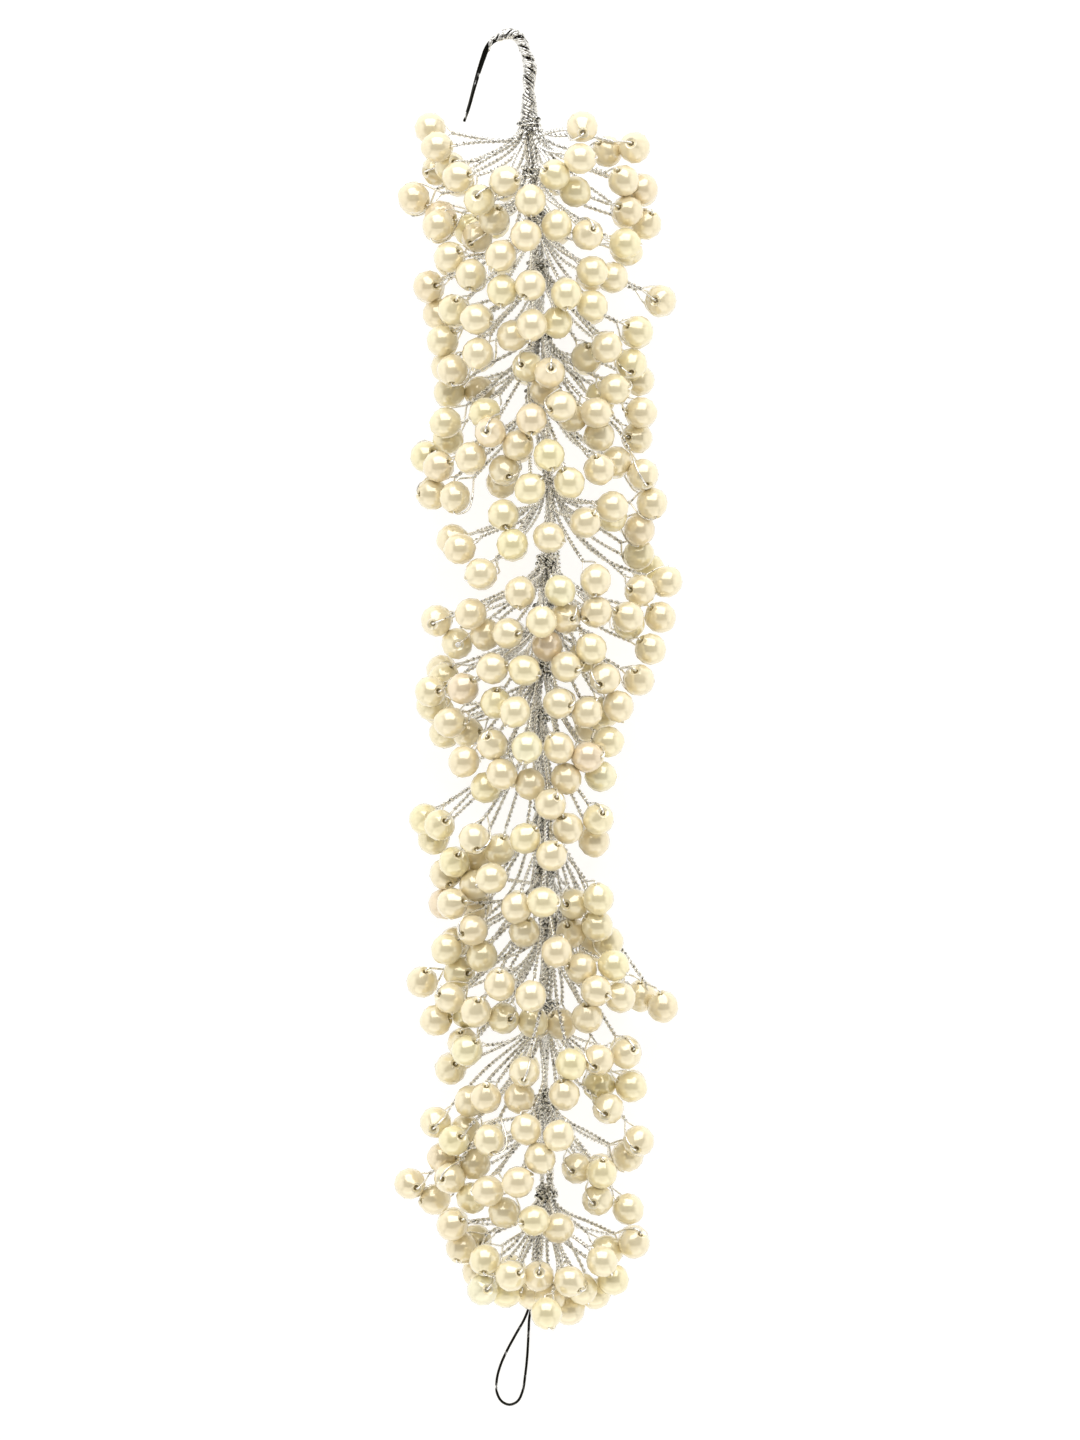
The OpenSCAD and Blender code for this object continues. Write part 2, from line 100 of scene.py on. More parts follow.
# Lacquer tones from rosy over cream to greenish, and the colours of its clouds, of the painted
# highlight on its lips and of the painted shade in its bores
PEARL_TONES = (
    (0.0, (0.88, 0.73, 0.52)),
    (0.3, (0.91, 0.79, 0.53)),
    (0.6, (0.93, 0.83, 0.57)),
    (0.85, (0.93, 0.84, 0.50)),
    (1.0, (0.90, 0.87, 0.64)),
)
CLOUD = (0.92, 0.84, 0.66)
# The lips' pale colour is a painted highlight, and the bores' darker colour is painted shade.
LIP_HIGHLIGHT = (0.97, 0.93, 0.80)
BORE_SHADE = (0.90, 0.80, 0.53)
# The share of beads of an odd tone, and the spread of the other beads' tones round the middle
ODD_SHARE = 0.12
TONE_SPREAD = (7, 5)

# Fine wire: one strand, and a twisted pair of them, whose turn varies in length. Its points are a
# sixth of a turn apart.
STRAND_D = 0.44
PAIR_D = 2 * STRAND_D
TWIST = 2.1
TWIST_VARIES = (0.85, 1.2)
PAIR_STEP = TWIST / 6

# Wires in cross section: the middles of their strands, and the strands' radius and number of
# sides. A polygon's corners lie a little outside the strand's circle, so that it looks as thick.
# With a power of 1 its sides would lie on the circle.
SECTIONS = {
    "pair": ((-0.5 * STRAND_D, 0.5 * STRAND_D), STRAND_D / 2, 5),
    "strand": ((0,), 0.23, 6),
    "single": ((0,), 0.18, 5),
    "stiff": ((0,), 0.28, 8),
    "eye": ((0,), 0.27, 8),
}
CORNERS_OUT = 0.6
# No strand has more sides than this, and edges up to this angle are shaded smooth.
MOST_SIDES = 8
WIRE_SMOOTH = 80

# How far apart the points are where a line is first drawn
LINE_STEP = 0.4
STALK_STEP = 0.5
FORK_STEP = 0.6

# Wire finishes: the light and dark colour of the painted glints and dark reflections, the share of
# dark places, roughness, and the places' scale
WIRE_FINISHES = {
    "silver": ((1.0, 0.99, 0.96), (0.21, 0.20, 0.17), 0.36, 0.13, 1500),
    "wound": ((0.88, 0.87, 0.84), (0.2, 0.19, 0.17), 0.44, 0.15, 1900),
    "knot": ((0.96, 0.95, 0.91), (0.09, 0.085, 0.07), 0.45, 0.15, 1500),
    "bright": ((0.9, 0.9, 0.88), (0.025, 0.025, 0.02), 0.65, 0.08, 600),
}

# Reading a spray: centres are counted in cells, and a cell with enough of them is on a pearl's
# centre, which is then the median of all that lie near it.
CELLS_PER_MM = 5
CELL_VOTES = 60
CELL_REACH = 0.2
LEAST_AREA = 1e-8
# How far a point of the mesh may be off its ball, and outside its root
BALL_SLACK = 0.004
ROOT_SLACK_OUT = 0.05
ROOT_SLACK_ALONG = 0.2
# How near to each other the points of one bend are
GROUP_REACH = 0.7

# Kinds of fork: how far below the pearl's centre the stalk parts, how loosely its two strands lie
# round the bead, and the tilt of the bead's bore
FORKS = ((4.3, 0.0, 18), (4.9, 0.1, 36), (5.6, 0.25, 52))
# The strands part from side by side, and pass a little to one side of the bead's middle.
PARTING = 0.2
STRAND_ASIDE = 0.08
# They run straight to a place off the bead, and from a few degrees past that round it in an arc.
TOUCH_GAP = 0.14
ROUND_GAP = 0.13
ARC_MARGIN = 6
ARC_STEP = 22
# The loose arc of some kinds is a sine without its ends, in radians.
ARC_TRIM = 0.4
# They enter the bore this far off the bead, and end in it this far from the bead's centre.
MOUTH_GAP = 0.04
BORE_END = 2.2

# Stalks: where each starts under its winding and leaves it, along the stem and out from its axis
STARTS_AT, STARTS_OUT = -1.6, (0.7, 1.2)
PRESSED_AT, PRESSED_OUT = 0.6, (1.1, 1.5)
LEAVES_AT, LEAVES_OUT = (1.0, 2.9), (1.3, 1.8)
# The middle of a stalk without bends: its share of the way to the pearl, and how far it sways
MIDDLE_SHARE = (0.4, 0.5)
SWAY = 0.8
# The last straight stretch before the parting
LAST_STRETCH = 0.8
# Easing: points of a stalk, how often it is eased, and by how much each time
STALK_POINTS = 30
EASINGS = 30
EASE = 0.35

# The stem's strands: how far each lies from the axis, and the length of its turn
STEM_STRANDS = (
    (1.0, 60), (1.0, 75), (1.1, 68), (1.0, 90), (1.1, 80), (0.95, 110), (0.3, 50), (0.45, 70),
)
STEM_STEP = 4.0
# The angle from one strand's start to the next one's, in radians
STEM_PHASE = 1.2
# Where the stem starts, along it from the first tie, and how far left of the last tie it ends
STEM_START = -3
STEM_END_LEFT = 1.2
# Three more strands lie side by side over the eye's ends. Their way is charted, with its height
# above the stem's axis.
STEM_LAST = ((-0.1, 238, 0.2), (-0.4, 244, 0.75), (-1.1, 251.5, 0.55))
STEM_LAST_APART = 0.6

# Windings: points in each turn, points of their axis, and where they start and end along the stem
WINDING_STEPS = 14
AXIS_STEPS = 20
WINDING_START = (-1.2, -0.5)
WINDING_END = (1.3, 2.2)
# The two layers of a winding: radius, pitch and direction, and how much the first two vary
WINDING_LAYERS = ((1.8, 0.85, 1), (2.05, 1.3, -1))
LAYER_ROUGH = 0.1
LAYER_PITCH = (0.8, 1.25)

# The hook, charted. Its two wires lie this far from its middle line, by shares of its length. One
# of them sinks below the other towards the tip and ends a little before it.
HOOK = (
    (-2.2, 19.4), (-2.2, 14.9), (-2.2, 10.3), (-2.0, 7.3), (-2.3, 6.0), (-2.9, 4.6), (-3.3, 3.2),
    (-4.0, 1.9), (-5.1, 1.0), (-6.3, 0.8), (-7.5, 1.2), (-8.7, 1.8), (-9.9, 2.6), (-10.7, 3.8),
    (-11.3, 5.4), (-12.3, 8.4), (-13.3, 11.9), (-14.4, 15.9), (-15.3, 18.4),
)
HOOK_STEP = 0.4
HOOK_APART = ((0, 0.27), (0.66, 0.27), (0.85, 0.1), (1, 0.06))
HOOK_SUNK = ((0.66, 0), (0.85, -0.45))
HOOK_SHORTER = 0.95

# The hook's winding: the share of the hook that it covers, where each strand ends as a share of
# that, the pitch and how it varies, how far the radius varies, and the step of its points
WOUND_PART = 0.64
WOUND_ENDS = (1.0, 0.95, 0.9, 0.885, 0.88, 0.87, 0.86, 0.85)
WOUND_PITCH = 4.7
WOUND_VARIES = (0.85, 1.15)
WOUND_ROUGH = 0.08
WOUND_STEP = 0.3
# Its radius along the hook, and where its turns are longer
WOUND_RADIUS = (
    (0, 1.65), (2.6, 1.5), (5.8, 1.2), (7.2, 0.85), (8.7, 1.1), (10, 1.22), (12.5, 1.17),
    (14.2, 0.9), (15.7, 0.88), (17.8, 1.0), (20.4, 0.93), (22, 0.7), (23, 0.52), (28, 0.5),
)
WOUND_LONGER = ((5.8, 1), (7.2, 1.7), (8.7, 1))

# The eye's one wire, charted, from the stem round the eye and back
EYE = (
    (-0.4, 241.8), (-1.7, 254.4), (-2.9, 258), (-5.1, 262), (-6.8, 265.2), (-8, 268), (-8.7, 271),
    (-8.6, 273.4), (-7.6, 275.1), (-6.1, 275.7), (-4.6, 275.1), (-3.5, 273), (-3, 270),
    (-2.6, 266.4), (-2.3, 261.4), (-2.1, 258), (-1.2, 254.4), (0.2, 241.8),
)
EYE_STEP = 0.45


class Value:
    """A shader socket that plain expressions can be written with."""

    def __init__(self, finish, socket):
        self.finish = finish
        self.socket = socket

    def math(self, operation, first, second):
        return self.finish.node("ShaderNodeMath", {"operation": operation}, {0: first, 1: second})

    def __add__(self, other):
        return self.math("ADD", self, other)

    def __mul__(self, other):
        return self.math("MULTIPLY", self, other)

    def __sub__(self, other):
        return self.math("SUBTRACT", self, other)

    def __rsub__(self, other):
        return self.math("SUBTRACT", other, self)

    __radd__ = __add__
    __rmul__ = __mul__


class Nodes:
    """The nodes of a material or of the room round the vine."""

    def __init__(self, owner):
        owner.use_nodes = True
        self.nodes = owner.node_tree.nodes
        self.links = owner.node_tree.links

    def feed(self, node, sockets):
        for name, value in sockets.items():
            if isinstance(value, Value):
                self.links.new(value.socket, node.inputs[name])
            else:
                node.inputs[name].default_value = value

    def node(self, kind, settings, sockets, output=0):
        """A node of this kind, with its settings set first and then its sockets fed."""
        node = self.nodes.new(kind)
        for name, value in settings.items():
            if name == "stops":
                while len(node.color_ramp.elements) < len(value):
                    node.color_ramp.elements.new(0.5)
                for element, (place, colour) in zip(node.color_ramp.elements, value):
                    element.position = place
                    element.color = (*colour, 1)
            else:
                setattr(node, name, value)
        self.feed(node, sockets)
        return Value(self, node.outputs[output])

    def ramp(self, factor, stops):
        """Colours that change with a factor. A plain number among them is a grey."""
        stops = [(place, c if isinstance(c, tuple) else (c, c, c)) for place, c in stops]
        return self.node("ShaderNodeValToRGB", {"stops": stops}, {"Fac": factor})


class Finish(Nodes):
    """A material: fixed values on the shader's own sockets, and nodes for what changes on it."""

    def __init__(self, name, **fixed):
        self.material = bpy.data.materials.new(name)
        super().__init__(self.material)
        self.shader = self.nodes["Principled BSDF"]
        self.set(**fixed)

    def set(self, **sockets):
        """Feeds the shader's sockets, which are named with _ for a space."""
        self.feed(self.shader, {name.replace("_", " "): v for name, v in sockets.items()})
        return self.material

    def noise(self, scale, detail=2):
        place = self.node("ShaderNodeTexCoord", {}, {}, output="Object")
        sockets = {"Vector": place, "Scale": scale, "Detail": detail}
        return self.node("ShaderNodeTexNoise", {}, sockets)

    def attribute(self, name):
        return self.node("ShaderNodeAttribute", {"attribute_name": name}, {}, output="Fac")

    def mix(self, factor, first, second):
        """Two colours mixed by a factor."""
        first = first if isinstance(first, Value) else (*first, 1)
        second = second if isinstance(second, Value) else (*second, 1)
        sockets = {"Factor": factor, 6: first, 7: second}
        return self.node("ShaderNodeMix", {"data_type": "RGBA"}, sockets, output=2)

    def bump(self, height, strength, distance):
        sockets = {"Height": height, "Strength": strength, "Distance": distance}
        return self.node("ShaderNodeBump", {}, sockets)


def pearl_finish():
    """Cream pearl lacquer: each bead in its own tone, with faint clouds, a painted highlight on its
    lips and painted shade in its bore.

    The bore attribute is 0 on the bead and 1 inside, so where it is low but not 0 is the lip.
    """
    f = Finish("pearl_lacquer", IOR=1.5, Coat_Roughness=0.07, Coat_IOR=1.66)
    bore = f.attribute("bore")
    clouds = f.noise(330)
    waves = f.noise(420, detail=1)
    # Painted highlight: a pale ring on the lip.
    lip_highlight = f.ramp(bore, ((0.0, 0), (0.06, 0.75), (0.3, 0.75), (0.42, 0)))
    # Painted shade: a darker colour further in, in the bore.
    inside = f.ramp(bore, ((0.3, 0), (0.5, 0.75)))
    colour = f.mix(clouds * 0.16, f.ramp(f.attribute("tone"), PEARL_TONES), CLOUD)
    colour = f.mix(lip_highlight, colour, LIP_HIGHLIGHT)
    colour = f.mix(inside, colour, BORE_SHADE)
    return f.set(
        Base_Color=colour,
        Metallic=0.3 - clouds * 0.1,
        Roughness=0.12 + clouds * 0.12,
        Coat_Weight=0.85 - bore * 0.6,
        Normal=f.bump(waves, strength=0.5, distance=0.08 * MM),
    )


def wire_finish(name, light, dark, share, rough, scale):
    """Plated wire, its colour patched by noise with painted light glints and painted dark
    reflections.
    """
    f = Finish(f"{name}_wire", IOR=1.8)
    # Painted glints: noise patches the colour with light glints and dark reflections.
    painted_glints = f.noise(scale)
    grain = f.noise(9000)
    return f.set(
        Base_Color=f.ramp(painted_glints, ((share - 0.05, dark), (share + 0.05, light))),
        Metallic=1.0 - painted_glints * 0.08,
        Roughness=rough + grain * 0.12,
        Normal=f.bump(grain, strength=0.1, distance=0.02 * MM),
    )


def floor_finish():
    """Matt white card with a barely visible tooth, lit through from below."""
    glow = (1, 0.99, 0.97, 1)
    f = Finish("white_card", Roughness=0.85, Emission_Color=glow, Emission_Strength=0.84)
    return f.set(Base_Color=f.mix(f.noise(60), (0.26, 0.26, 0.26), (0.29, 0.29, 0.29)))


def welded(node):
    """A node's corner points, each once and in millimetres, and its triangles."""
    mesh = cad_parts[node].data
    points = np.empty(len(mesh.vertices) * 3)
    mesh.vertices.foreach_get("co", points)
    points = points.reshape(-1, 3) / MM
    mesh.calc_loop_triangles()
    corners = np.empty(len(mesh.loop_triangles) * 3, int)
    mesh.loop_triangles.foreach_get("vertices", corners)
    _, first, same = np.unique(
        np.round(points, 3), axis=0, return_index=True, return_inverse=True
    )
    return points[first], same.ravel()[corners].reshape(-1, 3)


def pearl_centres(points, triangles):
    """The centres of a spray's pearls.

    Each triangle on a pearl gives the centre of its ball. Where many agree there is a pearl.
    """
    a, b, c = points[triangles].transpose(1, 0, 2)
    ab, ac = b - a, c - a
    across = np.cross(ab, ac)
    area = (across**2).sum(1, keepdims=True)
    whole = area[:, 0] > LEAST_AREA
    a, ab, ac, across, area = a[whole], ab[whole], ac[whole], across[whole], area[whole]
    ab2 = (ab**2).sum(1, keepdims=True)
    ac2 = (ac**2).sum(1, keepdims=True)
    to_middle = (np.cross(across, ab) * ac2 + np.cross(ac, across) * ab2) / (2 * area)
    depth2 = PEARL_R**2 - (to_middle**2).sum(1, keepdims=True)
    inside = depth2[:, 0] > 0
    depth = np.sqrt(depth2[inside])
    centres = (a + to_middle)[inside] - depth * across[inside] / np.sqrt(area[inside])
    cells, votes = np.unique(np.round(centres * CELLS_PER_MM), axis=0, return_counts=True)
    found = []
    for cell in cells[np.argsort(-votes)][: (votes > CELL_VOTES).sum()] / CELLS_PER_MM:
        near = centres[np.linalg.norm(centres - cell, axis=1) < CELL_REACH]
        middle = np.median(near, axis=0)
        if all(np.linalg.norm(middle - other) > PEARL_R for other in found):
            found.append(middle)
    return np.array(found)


def grown_groups(points, reach):
    """Points in groups, each within reach of another of its group."""
    group = np.full(len(points), -1)
    for k in range(len(points)):
        if group[k] >= 0:
            continue
        group[k] = k
        edge = [k]
        while edge:
            near = np.linalg.norm(points - points[edge.pop()], axis=1) < reach
            new = np.flatnonzero(near & (group < 0))
            group[new] = k
            edge.extend(new)
    return group


class Tie:
    """Where a tier starts: the winding's start on the stem's axis, and the stem's way there."""

    def __init__(self, start, way):
        self.start = start
        self.way = way

    def along(self, points):
        return (points - self.start) @ self.way

    def axis(self, distance):
        return self.start + distance * self.way


def read_ties():
    """The ties and the stem's line through them. A tie's ring lies a millimetre past its start."""
    middles = []
    for k in range(TIERS):
        low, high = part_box(f"tie_{k + 1:02}")
        middles.append(np.array((low + high) / 2) / MM)
    low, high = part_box("stem")
    end = np.array([middles[-1][0] - STEM_END_LEFT, low.y / MM, STEM_Z])
    line = np.array([*middles, end])
    line[:, 2] = STEM_Z
    ways = np.diff(line, axis=0)
    ways /= np.linalg.norm(ways, axis=1, keepdims=True)
    return [Tie(middle - way, way) for middle, way in zip(line, ways)], line


def point_labels(points, pearls, tie):
    """What each point of a spray is on: a pearl by its number, the root, or an end or a bend."""
    root = len(pearls)
    label = np.full(len(points), -1)
    for k, centre in enumerate(pearls):
        label[np.abs(np.linalg.norm(points - centre, axis=1) - PEARL_R) < BALL_SLACK] = k
    along = tie.along(points)
    off_axis = np.linalg.norm(points - tie.start - along[:, None] * tie.way, axis=1)
    at_root = off_axis < ROOT_R + ROOT_SLACK_OUT
    at_root &= (along > -ROOT_SLACK_ALONG) & (along < ROOT_LEN + ROOT_SLACK_ALONG)
    label[at_root & (label < 0)] = root
    free = np.flatnonzero(label < 0)
    groups = grown_groups(points[free], GROUP_REACH)
    label[free] = root + 1 + np.unique(groups, return_inverse=True)[1]
    return label


def read_sprigs(node, tie):
    """The sprigs of a spray, read back from its mesh by the shortest way from pearl to root.

    Each is the points of its stalk from the stem outwards, with the pearl's centre last.
    """
    points, triangles = welded(node)
    pearls = pearl_centres(points, triangles)
    root = len(pearls)
    label = point_labels(points, pearls, tie)
    edges = np.sort(triangles[:, [0, 1, 1, 2, 2, 0]].reshape(-1, 2), axis=1)
    edges = np.unique(edges, axis=0)
    edges = edges[label[edges[:, 0]] != label[edges[:, 1]]]
    place = {k: points[label == k].mean(axis=0) for k in range(root + 1, label.max() + 1)}
    sprigs = []
    for k, centre in enumerate(pearls):
        paths = [([k], centre, 0.0)]
        reached = {}
        while paths:
            path, here, length = paths.pop(0)
            last = path[-1]
            if last in reached and reached[last][1] <= length:
                continue
            reached[last] = (path, length)
            if last == root:
                continue
            ends = edges[label[edges[:, 0]] == last]
            ends = np.concatenate([ends, edges[label[edges[:, 1]] == last][:, ::-1]])
            for other in set(label[ends[:, 1]]) - {last}:
                there = place.get(other)
                if other == root:
                    there = points[ends[label[ends[:, 1]] == root][:, 1]].mean(axis=0)
                if there is not None:
                    total = length + np.linalg.norm(there - here)
                    paths.append(([*path, other], there, total))
                    if other == root and (root not in reached or reached[root][1] > total):
                        attach = there
        way = [place[n] for n in reached[root][0][1:-1]]
        sprigs.append([attach, *way[::-1], centre])
    return sprigs


def smooth_line(points, step):
    """A smooth line through a few points, given as points about a step apart."""
    points = np.asarray(points, float)
    spans = np.linalg.norm(np.diff(points, axis=0), axis=1)
    knots = np.concatenate([[0], np.cumsum(spans)])
    slopes = np.gradient(points, knots, axis=0)
    count = max(2, math.ceil(knots[-1] / step) + 1)
    place = np.linspace(0, knots[-1], count)
    i = np.clip(np.searchsorted(knots, place, side="right") - 1, 0, len(spans) - 1)
    h = spans[i][:, None]
    t = ((place - knots[i]) / spans[i])[:, None]
    first = (1 + 2 * t) * (1 - t) ** 2 * points[i] + t * (1 - t) ** 2 * h * slopes[i]
    second = t * t * (3 - 2 * t) * points[i + 1] - t * t * (1 - t) * h * slopes[i + 1]
    return first + second


def columns(place, knots, line):
    """A line's points read off at other places along it."""
    return np.column_stack([np.interp(place, knots, line[:, k]) for k in range(3)])


def evenly(line, step):
    """The same line in points that are evenly spaced, about a step apart."""
    spans = np.linalg.norm(np.diff(line, axis=0), axis=1)
    lengths = np.concatenate([[0], np.cumsum(spans)])
    count = max(3, round(lengths[-1] / step) + 1)
    return columns(np.linspace(0, lengths[-1], count), lengths, line)


def read_off(table, place):
    """A table's values at places between its rows."""
    return np.interp(place, *zip(*table))


def sideways(line):
    """The way of a flat line at each of its points, and the direction beside it."""
    way = np.gradient(line, axis=0)
    way /= np.linalg.norm(way, axis=1, keepdims=True)
    return np.column_stack([way[:, 1], -way[:, 0], 0 * way[:, 0]])


def wound(line, radius, pitch, phase=0.0):
    """A helix round a flat line. Radius and pitch are numbers, or lists of one for each point."""
    line = np.asarray(line, float)
    steps = np.linalg.norm(np.diff(line, axis=0), axis=1)
    turns = np.concatenate([[0], np.cumsum(steps / np.broadcast_to(pitch, len(line))[1:])])
    at = np.linspace(0, turns[-1], max(3, round(turns[-1] * WINDING_STEPS) + 1))
    middle = columns(at, turns, line)
    out = np.interp(at, turns, np.broadcast_to(radius, len(line)))[:, None]
    angle = (2 * math.pi * at + phase)[:, None]
    return middle + out * (np.cos(angle) * sideways(middle) + np.sin(angle) * np.array(UP))


def beside(line, offset):
    """A flat line moved sideways by an offset that may change along it."""
    return line + sideways(line) * np.broadcast_to(offset, len(line))[:, None]


def charted(across, along, height=STEM_Z):
    """A place charted as in the part's source: to the right, and down from the hook's end."""
    return np.array([across + CHART_ZERO[0], CHART_ZERO[1] - along, height])


def only(*objects):
    """Selects these objects and no others."""
    bpy.ops.object.select_all(action="DESELECT")
    for o in objects:
        o.select_set(True)
    bpy.context.view_layer.objects.active = objects[0]


def linked(name, data):
    made = bpy.data.objects.new(name, data)
    bpy.context.scene.collection.objects.link(made)
    return made


def section(name, middles, radius, sides):
    """The cross section of a wire: a small polygon round each middle."""
    curve = bpy.data.curves.new(name, "CURVE")
    out = radius / math.cos(math.pi / sides) ** CORNERS_OUT
    for middle in middles:
        spline = curve.splines.new("POLY")
        spline.points.add(sides - 1)
        spline.use_cyclic_u = True
        for n, point in enumerate(spline.points):
            turn = 2 * math.pi * (n + 0.5) / sides
            x, y = middle + out * math.cos(turn), out * math.sin(turn)
            point.co = (x * MM, y * MM, 0, 1)
    return linked(name, curve)


def wires(name, lines, profile, twist=None):
    """Wires of one cross section along lines, as one mesh. A twist is the length of a turn."""
    curve = bpy.data.curves.new(name, "CURVE")
    curve.dimensions = "3D"
    for line in lines:
        spline = curve.splines.new("POLY")
        spline.points.add(len(line) - 1)
        spline.points.foreach_set("co", np.column_stack([line * MM, np.ones(len(line))]).ravel())
        if twist:
            steps = np.linalg.norm(np.diff(line, axis=0), axis=1)
            turn = twist * LOOK.uniform(*TWIST_VARIES)
            tilt = np.concatenate([[0], np.cumsum(steps)]) * 2 * math.pi / turn
            spline.points.foreach_set("tilt", tilt + LOOK.uniform(0, math.pi))
    curve.bevel_mode = "OBJECT"
    curve.bevel_object = profile
    only(linked(name, curve))
    bpy.ops.object.convert(target="MESH")
    bpy.ops.object.mode_set(mode="EDIT")
    bpy.ops.mesh.select_all(action="SELECT")
    bpy.ops.mesh.fill_holes(sides=MOST_SIDES)
    bpy.ops.mesh.normals_make_consistent(inside=False)
    bpy.ops.object.mode_set(mode="OBJECT")
    bpy.ops.object.shade_smooth_by_angle(angle=math.radians(WIRE_SMOOTH))
    return bpy.context.object


def select_rim(piece, end):
    """Selects the open edges at one end of the bead, in edit mode."""
    bpy.ops.mesh.select_all(action="DESELECT")
    mesh = bmesh.from_edit_mesh(piece.data)
    for edge in mesh.edges:
        if edge.is_boundary and edge.verts[0].co.z * end > 0:
            edge.select_set(True)
    bmesh.update_edit_mesh(piece.data)


def drawn_in(share, up):
    """Draws the selected rim in towards the bead's axis and moves it along that."""
    bpy.ops.transform.resize(value=(share, share, 1), center_override=(0, 0, 0))
    bpy.ops.transform.translate(value=(0, 0, up * MM))


def pearl_model():
    """A bead bored through along x, with a raised lip round each mouth of the bore."""
    bpy.ops.object.select_all(action="DESELECT")
    bpy.ops.mesh.primitive_uv_sphere_add(
        segments=BEAD_SIDES, ring_count=BEAD_RINGS, radius=BEAD_R * MM
    )
    bead = bpy.context.object
    bead.name = "pearl_model"
    bpy.ops.object.mode_set(mode="EDIT")
    bpy.ops.mesh.select_all(action="DESELECT")
    bpy.ops.mesh.select_face_by_sides(number=3)
    bpy.ops.mesh.delete(type="FACE")
    for end in (-1, 1):
        select_rim(bead, end)
        drawn_in(LIP_SHARE, end * LIP_RAISED)
        bpy.ops.mesh.extrude_region_move()
        drawn_in(BORE_SHARE, -end * BORE_SUNK)
    bpy.ops.mesh.select_all(action="DESELECT")
    bpy.ops.mesh.select_non_manifold()
    bpy.ops.mesh.bridge_edge_loops()
    bpy.ops.mesh.select_all(action="SELECT")
    bpy.ops.mesh.delete_loose()
    bpy.ops.mesh.normals_make_consistent(inside=False)
    bpy.ops.object.mode_set(mode="OBJECT")
    bpy.ops.object.shade_smooth_by_angle(angle=math.radians(BEAD_SMOOTH))
    bead.data.transform(Matrix.Rotation(math.pi / 2, 4, "Y"))
    bead.data.attributes.new("tone", "FLOAT", "POINT")
    off_axis = [math.hypot(vertex.co.y, vertex.co.z) / MM for vertex in bead.data.vertices]
    inner = bead.data.attributes.new("bore", "FLOAT", "POINT")
    inner.data.foreach_set("value", [1.0 if radius < BORE_R else 0.0 for radius in off_axis])
    return bead


def fork_model(name, reach, slack, tilt, profile):
    """Two strands that part below a bead, hug its sides and go into the mouths of its bore."""
    start = math.degrees(math.acos((BEAD_R + TOUCH_GAP) / reach))
    lines = []
    for side in (-1, 1):
        mouth = 90 + side * tilt
        turns = np.arange(min(start + ARC_MARGIN, mouth), mouth - ARC_MARGIN, ARC_STEP)
        loose = slack * np.sin(np.linspace(ARC_TRIM, math.pi - ARC_TRIM, len(turns)))
        arc = [(turn, BEAD_R + ROUND_GAP + lift) for turn, lift in zip(turns, loose)]
        arc += [(mouth, BEAD_R + MOUTH_GAP), (mouth, BORE_END)]
        points = [(PARTING * side, 0, -reach)]
        for turn, radius in arc:
            turn = math.radians(turn)
            x, z = side * radius * math.sin(turn), -radius * math.cos(turn)
            points.append((x, STRAND_ASIDE, z))
        lines.append(smooth_line(points, FORK_STEP))
    return wires(name, lines, profile)


def copied(model, place):
    """A copy of a model with its own mesh, which is moved and turned to its place."""
    copy = model.copy()
    copy.data = model.data.copy()
    copy.data.transform(place)
    bpy.context.scene.collection.objects.link(copy)
    return copy


def joined(name, parts):
    only(*parts)
    bpy.ops.object.join()
    piece = bpy.context.object
    piece.name = name
    piece.data.name = name
    return piece


def kept(piece, finish, slot, *nodes):
    """Gives a piece its finish, says what it rides on, and hides the nodes that it stands in for.
    """
    piece.data.materials.clear()
    piece.data.materials.append(finish)
    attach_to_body(piece, "root")
    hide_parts(*nodes)


def stalk_points(sprig, tie, reach):
    """Where a stalk goes: under the winding, out past it, and on to the fork below its pearl."""
    attach, *knees, centre = sprig
    out = attach - tie.axis(max(tie.along(attach), 1.0))
    out /= np.linalg.norm(out)
    leave = tie.axis(LOOK.uniform(*LEAVES_AT)) + LOOK.uniform(*LEAVES_OUT) * out
    half = attach + LOOK.uniform(*MIDDLE_SHARE) * (centre - attach)
    half = half + [LOOK.uniform(-SWAY, SWAY) for _ in "xyz"]
    aim = centre - (knees[-1] if knees else half)
    aim /= np.linalg.norm(aim)
    return [
        tie.axis(STARTS_AT) + LOOK.uniform(*STARTS_OUT) * out,
        tie.axis(PRESSED_AT) + LOOK.uniform(*PRESSED_OUT) * out,
        leave,
        *(knees or [half]),
        centre - (reach + LAST_STRETCH) * aim,
        centre - reach * aim,
    ]


def eased(lines, centres):
    """Stalks eased into springy curves, each point kept out of the pearl nearest to it."""
    room = BEAD_R + PAIR_D / 2
    for _ in range(EASINGS):
        free = lines[:, 4:-2]
        free += EASE * ((lines[:, 3:-3] + lines[:, 5:-1]) / 2 - free)
        flat = free.reshape(-1, 3)
        gap = (flat**2).sum(1)[:, None] + (centres**2).sum(1)[None] - 2 * flat @ centres.T
        nearest = centres[gap.argmin(axis=1)]
        away = flat - nearest
        distance = np.linalg.norm(away, axis=1, keepdims=True)
        flat = np.where(distance < room, nearest + away / distance * room, flat)
        free[:] = flat.reshape(free.shape)
    return lines


def turned(centre, aim):
    """A place for a copy at a pearl, with its z axis along the stalk's aim.

    About half of the copies have the near mouth of the bore turned up, and the rest lie anyhow.
    """
    aim = Vector(aim).normalized()
    if LOOK.random() < UP_SHARE:
        turn = LOOK.gauss(-math.pi / 2, UP_SPREAD)
    else:
        turn = LOOK.uniform(0, 2 * math.pi)
    upright = aim.to_track_quat("Z", "Y").to_matrix().to_4x4()
    return Matrix.Translation(Vector(centre) * MM) @ upright @ Matrix.Rotation(turn, 4, "Z")


def set_tone(pearl):
    """Gives a bead its own tone: most are near the middle of the ramp, and a few are odd ones."""
    odd = LOOK.random() < ODD_SHARE
    tone = LOOK.uniform(0, 1) if odd else LOOK.betavariate(*TONE_SPREAD)
    tones = np.full(len(pearl.data.vertices), tone, np.float32)
    pearl.data.attributes["tone"].data.foreach_set("value", tones)


